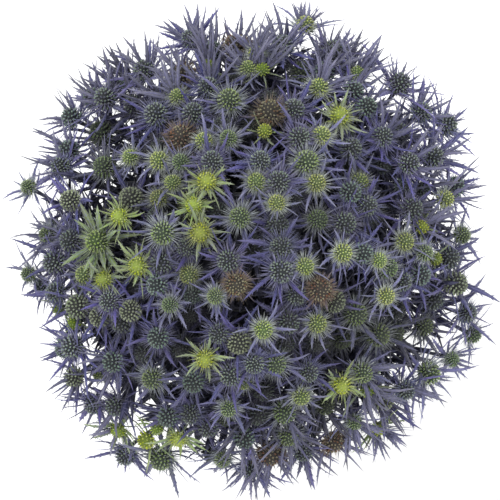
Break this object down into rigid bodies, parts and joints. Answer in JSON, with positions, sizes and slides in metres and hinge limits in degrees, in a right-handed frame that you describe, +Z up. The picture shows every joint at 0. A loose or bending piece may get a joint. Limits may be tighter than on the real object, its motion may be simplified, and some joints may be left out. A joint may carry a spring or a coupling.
{
  "type": "bunch of sea holly in a bottle",
  "caption": "Domed bunch of sea holly: spiny cone-shaped flower heads in stars of blue-violet bracts, on forked stems that stand in a glass bottle of water.",
  "frame": {"origin": "centre of the bottle's flat base", "axes": "+Z up, along the bottle's axis, towards the top of the bunch; +Y is the top edge and +X the right edge of the picture"},
  "size_m": [0.3073, 0.3083, 0.4079],
  "materials": {
    "bottle_glass": "smooth clear glass",
    "water": "still clear water",
    "sea_holly": "matt waxy plant skin, blue-violet bracts, green stems and florets"
  },
  "bodies": {
    "root": {"bottle": "bottle_glass", "water": "water", "spray_01": "sea_holly", "spray_02": "sea_holly", "spray_03": "sea_holly", "spray_04": "sea_holly", "spray_05": "sea_holly", "spray_06": "sea_holly", "spray_07": "sea_holly", "spray_08": "sea_holly", "spray_09": "sea_holly", "spray_10": "sea_holly", "spray_11": "sea_holly", "spray_12": "sea_holly", "spray_13": "sea_holly", "spray_14": "sea_holly", "spray_15": "sea_holly", "spray_16": "sea_holly", "spray_17": "sea_holly", "spray_18": "sea_holly", "spray_19": "sea_holly", "spray_20": "sea_holly"}
  },
  "joints": []
}
